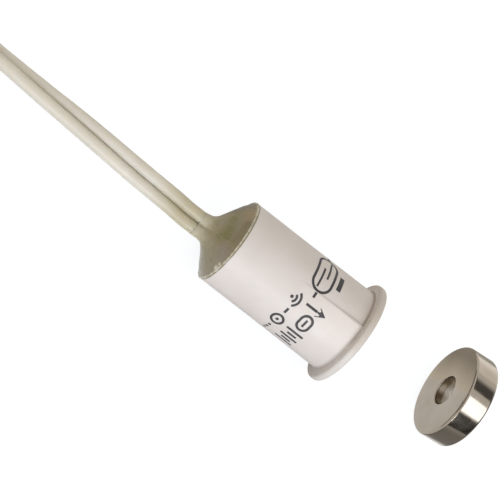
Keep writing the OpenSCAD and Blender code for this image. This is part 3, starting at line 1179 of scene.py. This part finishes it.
# Painted glints: three pale spots at the rim and by the leads
painted_glints = (((-14.96, -4.22, 1.2), 0.42), ((-15.05, -3.95, 1.75), 0.22), ((-17.6, -0.51, -1.09), 0.22))
for middle, radius in painted_glints:
    shade = blended(tree, spot(tree, place, middle, radius), shade, srgb(226, 222, 208))
tree.links.new(shade, shader.inputs["Base Color"])
uneven_roughness(tree, shader, place, 0.9 * mm, 0.22, 0.34)
combed = add(tree, "Bump", Distance=0.03 * mm)
tree.links.new(streaks, combed.inputs["Height"])
grain(tree, shader, place, 0.5 * mm, 0.012 * mm, under=combed)
dress(resin, olive)

# %% [markdown]
# ## Magnet
# The ring is pressed and sintered, tumbled so that its edges are round, and nickel plated. A
# cylinder with a hole cut through it would need its edges rounded afterwards, so its section is
# spun, as the cup's is, and then the ring is set on edge where the CAD part has it.

# %% Magnet mesh
magnet_radius = 5 * mm
magnet_thickness = 2.85 * mm
magnet_bore = 1.6 * mm
magnet_rounding = 0.3 * mm
bore_rounding = 0.1 * mm
magnet_turn = math.radians(8.85)
magnet_middle = Vector((14.52 * mm, 3.09 * mm, floor_z + magnet_radius))

half_thickness = magnet_thickness / 2
face_x = half_thickness - magnet_rounding
bore_x = half_thickness - bore_rounding
rim_centre = magnet_radius - magnet_rounding
bore_centre = magnet_bore + bore_rounding
magnet_section = arc(bore_x, bore_centre, bore_rounding, -90, 0, 4)
magnet_section += arc(face_x, rim_centre, magnet_rounding, 0, 90, 8)
magnet_section += arc(-face_x, rim_centre, magnet_rounding, 90, 180, 8)
magnet_section += arc(-bore_x, bore_centre, bore_rounding, 180, 270, 4)
magnet_section.append(magnet_section[0])
magnet_bm = turned(magnet_section, 180)
magnet_bm.transform(Matrix.Translation(magnet_middle) @ Matrix.Rotation(magnet_turn, 4, "Z"))
ring_magnet = make_piece(magnet_bm, "ring_magnet", "magnet", ["magnet"])

# %% [markdown]
# ## Nickel plating
# Plating shows what is round it, so its finish is a clean metal with only faint marks, and the
# studio's dark and light boards give it its bands. The bore's wall is a little darker than the
# faces, as painted shade in the hole, with a painted highlight in one place near its mouth.
# Deeper in it is duller, as where plating is thin, so the roughness there has a lower limit of
# its own, and its colour is painted lighter there, as painted reflection.

# %% Nickel plating
nickel, tree, shader = new_material("nickel_plating", Metallic=1)
unturned = Matrix.Rotation(-magnet_turn, 4, "Z")
place = object_place(tree, (0, 0, -magnet_turn), shift=-(unturned @ magnet_middle))
along = coordinate(tree, place, "X")
across = from_axis(tree, place)[1]
shade = mottle(tree, place, 2.5 * mm, srgb(155, 145, 130), srgb(166, 155, 142))
# Painted shade: the bore's wall is a little darker than the faces
in_bore = spanned(tree, across, magnet_bore + 0.04 * mm, magnet_bore + 0.01 * mm)
shade = blended(tree, in_bore, shade, srgb(158, 147, 131))
# Painted highlight: one bright spot on the bore's wall near its mouth
bore_painted_highlight = all_of(tree, in_bore, spot(tree, place, (-0.95, 0.84, -1.36), 0.6))
shade = blended(tree, bore_painted_highlight, shade, srgb(255, 253, 248))
# Deeper in the bore the colour is painted lighter, as painted reflection
deep = all_of(tree, in_bore, spanned(tree, along, -0.6 * mm, -0.35 * mm))
shade = blended(tree, deep, shade, srgb(196, 186, 172))
tree.links.new(shade, shader.inputs["Base Color"])
uneven_roughness(tree, shader, place, 0.8 * mm, 0.1, 0.17, spanned(tree, deep, 0, 1, 0, 0.6))
grain(tree, shader, place, 0.12 * mm, 0.0006 * mm)
dress(ring_magnet, nickel)

# %% [markdown]
# ## Insulation of the leads
# PVC is slightly waxy: it lets some light in, which keeps the crease between the two leads from
# going black. Near the resin it is darker and yellower. Two materials would show a border there,
# so one material goes over from one shade to the other along the leads.

# %% PVC insulation
sheath, tree, shader = new_material(
    "cream_sheath", Subsurface_Weight=0.8, Subsurface_Radius=(1.0, 0.9, 0.75), Subsurface_Scale=1.8 * mm
)
place = object_place(tree)
shade = mottle(tree, place, 3 * mm, srgb(218, 214, 203), srgb(227, 223, 213))
soaked = spanned(tree, coordinate(tree, place, "X"), -24.5 * mm, -20.3 * mm)
shade = blended(tree, soaked, shade, srgb(197, 191, 167))
tree.links.new(shade, shader.inputs["Base Color"])
uneven_roughness(tree, shader, place, 1 * mm, 0.34, 0.46)
grain(tree, shader, place, 0.3 * mm, 0.006 * mm)
for lead in (lead_a, lead_b):
    dress(lead, sheath)

# %% [markdown]
# ## Finishes that are the same all over
# The other pieces have no places of their own in their finish, so one function makes them all
# from two shades, a span of roughness and a grain. Nylon is whiter and clearer than PVC. The bare
# strands are tinned, with a faint wire grain. The capsule, its blades and leads, and the solder
# are the CAD part's own solids, which only an opened model shows: drawn wire has a grain that runs
# along it, solder is bright and a little lumpy, and glass is clear, faintly green and not quite even.

# %% A finish that is the same all over
def plain_finish(
    name, patch, dark, light, rough_patch, rough, grain_size, grain_depth, stretch=(1, 1, 1), **sockets
):
    """Patches of two shades, patches with a roughness between two limits, and a grain."""
    material, tree, shader = new_material(name, **sockets)
    place = object_place(tree, stretch=stretch)
    tree.links.new(mottle(tree, place, patch, dark, light), shader.inputs["Base Color"])
    uneven_roughness(tree, shader, place, rough_patch, *rough)
    grain(tree, shader, place, grain_size, grain_depth)
    return material


# %% Nylon, strands, reeds, solder and glass
nylon = plain_finish(
    "natural_nylon",
    1.5 * mm, srgb(222, 222, 217), srgb(232, 232, 228),
    0.6 * mm, (0.3, 0.44),
    0.12 * mm, 0.003 * mm,
    Subsurface_Weight=0.4, Subsurface_Radius=(1, 1, 0.9), Subsurface_Scale=0.8 * mm,
)
strands = plain_finish(
    "tinned_strands",
    0.5 * mm, srgb(190, 186, 178), srgb(212, 209, 203),
    0.2 * mm, (0.25, 0.4),
    0.04 * mm, 0.001 * mm,
    Metallic=1,
)
alloy = plain_finish(
    "reed_alloy",
    2 * mm, srgb(176, 171, 160), srgb(200, 196, 186),
    0.8 * mm, (0.28, 0.42),
    0.3 * mm, 0.001 * mm,
    stretch=(1, 12, 12),
    Metallic=1,
)
solder = plain_finish(
    "solder",
    0.4 * mm, srgb(178, 178, 178), srgb(206, 206, 204),
    0.25 * mm, (0.2, 0.38),
    0.2 * mm, 0.006 * mm,
    Metallic=1,
)
glass = plain_finish(
    "capsule_glass",
    2 * mm, srgb(214, 232, 220), srgb(228, 242, 233),
    1 * mm, (0.02, 0.06),
    0.8 * mm, 0.004 * mm,
    Transmission_Weight=1, IOR=1.5,
)

# %% Finishes put on the pieces
dress(tie, nylon)
for piece in (tip_a, tip_b, nodes["core_a"], nodes["core_b"]):
    dress(piece, strands)
for name in ("front_blade", "rear_blade", "front_lead", "rear_lead"):
    dress(nodes[name], alloy)
for name in ("solder_a", "solder_b"):
    dress(nodes[name], solder)
dress(nodes["reed_glass"], glass)

# %% [markdown]
# ## Floor and world
# The object lies on a plain white floor under an even pale world, which fills the shadows. A floor
# that is bright enough to look white would also throw too much light up at the object. So the
# floor and the world each have two shaders: what the camera and reflections see is plain white,
# and what lights the object is duller.

# %% Two shaders chosen by the ray
def light_path_mix(tree, seen, lit):
    """Chooses shader seen for camera, glossy and transmission rays, and shader lit for the rest."""
    path = add(tree, "LightPath")
    kinds = ("Is Camera Ray", "Is Glossy Ray", "Is Transmission Ray")
    looking = worked_out(tree, "MAXIMUM", *[path.outputs[kind] for kind in kinds])
    mix = add(tree, "MixShader")
    tree.links.new(looking, mix.inputs["Fac"])
    tree.links.new(lit, mix.inputs[1])
    tree.links.new(seen, mix.inputs[2])
    return mix.outputs["Shader"]


# %% Floor
floor_bm = bmesh.new()
floor_radius = 3
floor_place = Matrix.Translation((0, 0, floor_z))
bmesh.ops.create_circle(floor_bm, cap_ends=True, segments=96, radius=floor_radius, matrix=floor_place)
floor = put_in_scene("floor", mesh_of(floor_bm, "floor"))

floor_finish, tree, shader = new_material("floor_white", Base_Color=(0.55, 0.54, 0.53, 1), Roughness=0.9)
faint = add(tree, "BsdfDiffuse", Color=(0.28, 0.28, 0.28, 1))
glow = add(tree, "Emission", Color=(0.96, 0.98, 1, 1), Strength=0.87)
lifted = add(tree, "AddShader")
tree.links.new(faint.outputs["BSDF"], lifted.inputs[0])
tree.links.new(glow.outputs["Emission"], lifted.inputs[1])
surface = light_path_mix(tree, lifted.outputs["Shader"], shader.outputs["BSDF"])
tree.links.new(surface, tree.nodes["Material Output"].inputs["Surface"])
dress(floor, floor_finish)

# %% World
world = bpy.data.worlds.new("world")
bpy.context.scene.world = world
world.use_nodes = True
tree = world.node_tree
fill = tree.nodes["Background"]
fill.inputs["Color"].default_value = (1, 0.93, 0.835, 1)
fill.inputs["Strength"].default_value = 0.64
white = add(tree, "Background", Color=(1, 1, 1, 1), Strength=1)
surface = light_path_mix(tree, white.outputs["Background"], fill.outputs["Background"])
tree.links.new(surface, tree.nodes["World Output"].inputs["Surface"])
print("the world fills with strength", round(fill.inputs["Strength"].default_value, 2))

# %% [markdown]
# ## Boards
# Plated metal shows only what stands round it, so a photographer puts boards there. Dark boards
# give the magnet its dark bands, light boards give the bright ones, and a board whose brightness
# goes over from one value to another gives a soft change. Grey cards on the floor behind, beside
# and under the switch are painted shadow: they put the switch's shadow on the floor into the
# reflections, which keeps the edges of the resin and of the leads from going white. Only
# reflections see the boards: they cast no shadow and light nothing.

# %% A board
quarter_turn = math.radians(90)
facing = (Matrix.Rotation(quarter_turn, 4, "Y"), Matrix.Rotation(quarter_turn, 4, "X"), Matrix())


def board(name, low, high, near, far=None, fades_over=(0, 1), fades_along="Y", colour=(1, 1, 1, 1)):
    """A flat board between two corners in mm, which only reflections see.

    Its brightness is near, or goes over to far between two places in mm.
    """
    bm = bmesh.new()
    middle = (Vector(low) + Vector(high)) / 2 * mm
    size = (Vector(high) - Vector(low)) * mm
    flat_axis = list(size).index(0)
    bmesh.ops.create_grid(bm, x_segments=1, y_segments=1, size=0.5, matrix=facing[flat_axis])
    bm.transform(Matrix.Translation(middle) @ Matrix.Diagonal((*size, 1)))
    card = put_in_scene(name, mesh_of(bm, name))
    card.visible_camera = False
    card.visible_diffuse = False
    card.visible_shadow = False
    card.visible_transmission = False
    material, tree, shader = new_material(name)
    tree.nodes.remove(shader)
    paint = add(tree, "Emission", Color=colour, Strength=near)
    if far is not None:
        start, end = fades_over
        way = coordinate(tree, object_place(tree), fades_along)
        tree.links.new(spanned(tree, way, start * mm, end * mm, near, far), paint.inputs["Strength"])
    tree.links.new(paint.outputs["Emission"], tree.nodes["Material Output"].inputs["Surface"])
    card.data.materials.append(material)
    print(name, "in mm:", [round(value / mm, 1) for value in size])


# %% Boards round the magnet and the switch
top_z = 40
low_z = floor_z / mm + 0.3
over_z = low_z + 0.1
under_z = low_z - 0.27
board("dark_board_above", (8, 7.5, top_z), (60, 34, top_z), 0.12, 0.95, (23, 33))
board("light_board_above", (18, -42, top_z), (80, -4.5, top_z), 4, colour=(0.84, 0.91, 1, 1))
board("dark_board_front", (20, -45, low_z), (95, -45, 37), 0.06)
board("grey_card_front", (14, -44, low_z), (60, -14, low_z), 0.6, 0.34, (-36, -14))
board("grey_card_near", (14, -14, low_z), (60, -1.3, low_z), 0.34, 0.9, (-2.2, -1.3))
board("light_board_behind", (12, 45, -4), (60, 45, 37), 1.65, 1.3, (0, 16), "Z")
# Painted shadow: the next three cards put the switch's shadow on the floor into reflections
board("shadow_card_behind", (-32, 6, low_z), (40, 36, low_z), 1.05, 0.52, (6, 9.8), colour=(1, 0.96, 0.88, 1))
board("shadow_card_resin", (-19.5, 5, over_z), (-11, 30, over_z), 0.32, 0.9, (-13.5, -11), "X")
board("shadow_card_under", (-13.5, -9, under_z), (6, 5, under_z), 0.35)
board("dark_board_left", (-75, -50, low_z), (-75, 60, top_z), 0.1)
board("dark_board_right", (78, -50, low_z), (78, 50, top_z), 0.2)

# %% [markdown]
# ## Lamp
# One large soft lamp at the lower left of the picture gives the long highlight on the barrel. A
# disc is used, because its reflection in round plastic has soft ends. The picture is shown with
# the plain Standard view, so that the white floor stays white.

# %% Lamp and view
lamp_distance = 0.6
toward_lamp = Vector((0.3, -0.92, 0.3)).normalized()
lamp_data = bpy.data.lights.new("key_lamp", "AREA")
lamp_data.shape = "DISK"
lamp_data.size = 0.3
lamp_data.energy = 1.8
lamp_data.color = (0.87, 0.915, 1)
key_lamp = put_in_scene("key_lamp", lamp_data)
facing_object = toward_lamp.to_track_quat("Z", "Y").to_matrix().to_4x4()
lamp_place = toward_lamp * lamp_distance
key_lamp.matrix_world = Matrix.Translation(lamp_place) @ facing_object
print("lamp at", [round(value, 2) for value in lamp_place], "watts:", round(lamp_data.energy, 1))

bpy.context.scene.view_settings.view_transform = "Standard"
